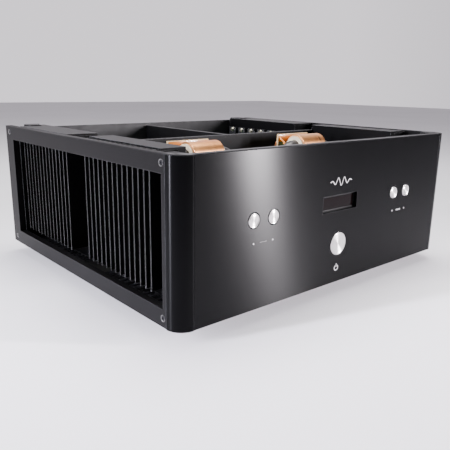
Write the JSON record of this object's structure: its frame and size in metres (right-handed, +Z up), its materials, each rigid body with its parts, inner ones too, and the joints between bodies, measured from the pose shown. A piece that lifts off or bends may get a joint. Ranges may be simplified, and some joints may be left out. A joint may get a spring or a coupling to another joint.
{
  "type": "integrated stereo amplifier",
  "caption": "Open-topped integrated amplifier with black anodised panels, framed side heat sinks, copper-wrapped ring-core transformers, front buttons and a rear connector panel.",
  "frame": {"origin": "bottom centre of the whole object, on the surface it stands on", "axes": "+X to the right seen from the front, +Y from the front panel to the rear, +Z up"},
  "size_m": [0.43, 0.414, 0.17],
  "materials": {
    "front_anodised": "black anodised, fine satin",
    "corner_anodised": "black anodised, fine satin",
    "side_anodised": "dark grey anodised, brushed along its length",
    "black_sheet": "black powder coat",
    "inner_sheet": "dark grey powder coat",
    "heat_sink_black": "black anodised extrusion",
    "foot_anodised": "turned and anodised",
    "rubber": "matt",
    "dark_steel": "blackened",
    "zinc_steel": "bright zinc",
    "display_glass": "dark tinted gloss",
    "display_body": "matt",
    "board_green": "solder mask",
    "button_aluminium": "spun face, bright turned rim",
    "core_steel": "wound grain-oriented steel, dark",
    "copper_foil": "copper foil, satin",
    "cream_plastic": "cream moulded nylon",
    "cream_board": "cream laminate",
    "can_sleeve": "shrunk sleeve on an aluminium can",
    "device_black": "moulded epoxy",
    "spacer_brass": "turned",
    "black_plastic": "fine moulded texture",
    "gold_plate": "gold plated",
    "socket_metal": "dark moulded shell",
    "knob_plastic": "moulded, fluted"
  },
  "bodies": {
    "chassis": {"front_panel": "front_anodised", "corner_post_left": "corner_anodised", "corner_post_right": "corner_anodised", "side_frame_left": "side_anodised", "side_frame_right": "side_anodised", "base_plate": "black_sheet", "rear_panel": "black_sheet", "rear_posts": "heat_sink_black", "cross_partition": "inner_sheet", "centre_partition": "inner_sheet", "heat_sink_front_left": "heat_sink_black", "heat_sink_rear_left": "heat_sink_black", "heat_sink_front_right": "heat_sink_black", "heat_sink_rear_right": "heat_sink_black", "feet": "foot_anodised", "foot_pads": "rubber", "foot_screws": "zinc_steel", "side_screws": "dark_steel", "rear_screws": "zinc_steel", "display_window": "display_glass", "display_module": "display_body", "control_board": "board_green", "core_left": "core_steel", "core_right": "core_steel", "windings_left": "copper_foil", "windings_right": "copper_foil", "bobbins_left": "cream_plastic", "bobbins_right": "cream_plastic", "transformer_frame_left": "zinc_steel", "transformer_frame_right": "zinc_steel", "lead_board_left": "cream_board", "lead_board_right": "cream_board", "supply_boards": "board_green", "filter_capacitors": "can_sleeve", "amplifier_board_left": "board_green", "amplifier_board_right": "board_green", "output_transistors_left": "device_black", "output_transistors_right": "device_black", "transistor_screws": "zinc_steel", "input_board": "board_green", "board_spacers": "spacer_brass", "mains_inlet": "black_plastic", "mains_switch_body": "black_plastic", "phono_sockets": "gold_plate", "xlr_shells": "socket_metal", "xlr_inserts": "socket_metal", "speaker_terminals": "gold_plate"},
    "input_down_button": {"input_down_button": "button_aluminium"},
    "input_up_button": {"input_up_button": "button_aluminium"},
    "volume_down_button": {"volume_down_button": "button_aluminium"},
    "volume_up_button": {"volume_up_button": "button_aluminium"},
    "power_button": {"power_button": "button_aluminium"},
    "fuse_drawer": {"fuse_drawer": "black_plastic"},
    "mains_rocker": {"mains_rocker": "black_plastic"},
    "xlr_latch_left": {"xlr_latch_left": "zinc_steel"},
    "xlr_latch_right": {"xlr_latch_right": "zinc_steel"},
    "knob_left_positive": {"knob_left_positive": "knob_plastic"},
    "knob_left_negative": {"knob_left_negative": "knob_plastic"},
    "knob_right_negative": {"knob_right_negative": "knob_plastic"},
    "knob_right_positive": {"knob_right_positive": "knob_plastic"}
  },
  "joints": [
    {"name": "input_down_press", "type": "slide", "parent": "chassis", "child": "input_down_button", "axis": [0, 1, 0], "range_m": [0, 0.0015], "stiffness_N_per_m": 1000},
    {"name": "input_up_press", "type": "slide", "parent": "chassis", "child": "input_up_button", "axis": [0, 1, 0], "range_m": [0, 0.0015], "stiffness_N_per_m": 1000},
    {"name": "volume_down_press", "type": "slide", "parent": "chassis", "child": "volume_down_button", "axis": [0, 1, 0], "range_m": [0, 0.0015], "stiffness_N_per_m": 1000},
    {"name": "volume_up_press", "type": "slide", "parent": "chassis", "child": "volume_up_button", "axis": [0, 1, 0], "range_m": [0, 0.0015], "stiffness_N_per_m": 1000},
    {"name": "power_press", "type": "slide", "parent": "chassis", "child": "power_button", "axis": [0, 1, 0], "range_m": [0, 0.003], "stiffness_N_per_m": 1200},
    {"name": "mains_rocker_tilt", "type": "hinge", "parent": "chassis", "child": "mains_rocker", "pos_m": [-0.022, 0.17, 0.058], "axis": [1, 0, 0], "range_deg": [-24, 0]},
    {"name": "fuse_drawer_slide", "type": "slide", "parent": "chassis", "child": "fuse_drawer", "axis": [0, 1, 0], "range_m": [0, 0.016]},
    {"name": "xlr_latch_press_left", "type": "slide", "parent": "chassis", "child": "xlr_latch_left", "axis": [0, 0, -1], "range_m": [0, 0.001], "stiffness_N_per_m": 800},
    {"name": "xlr_latch_press_right", "type": "slide", "parent": "chassis", "child": "xlr_latch_right", "axis": [0, 0, -1], "range_m": [0, 0.001], "stiffness_N_per_m": 800},
    {"name": "knob_turn_left_positive", "type": "hinge", "parent": "chassis", "child": "knob_left_positive", "pos_m": [-0.148, 0.193, 0.064], "axis": [0, 1, 0], "range_deg": [0, 1080]},
    {"name": "knob_turn_left_negative", "type": "hinge", "parent": "chassis", "child": "knob_left_negative", "pos_m": [-0.124, 0.193, 0.064], "axis": [0, 1, 0], "range_deg": [0, 1080]},
    {"name": "knob_turn_right_negative", "type": "hinge", "parent": "chassis", "child": "knob_right_negative", "pos_m": [0.124, 0.193, 0.064], "axis": [0, 1, 0], "range_deg": [0, 1080]},
    {"name": "knob_turn_right_positive", "type": "hinge", "parent": "chassis", "child": "knob_right_positive", "pos_m": [0.148, 0.193, 0.064], "axis": [0, 1, 0], "range_deg": [0, 1080]}
  ]
}
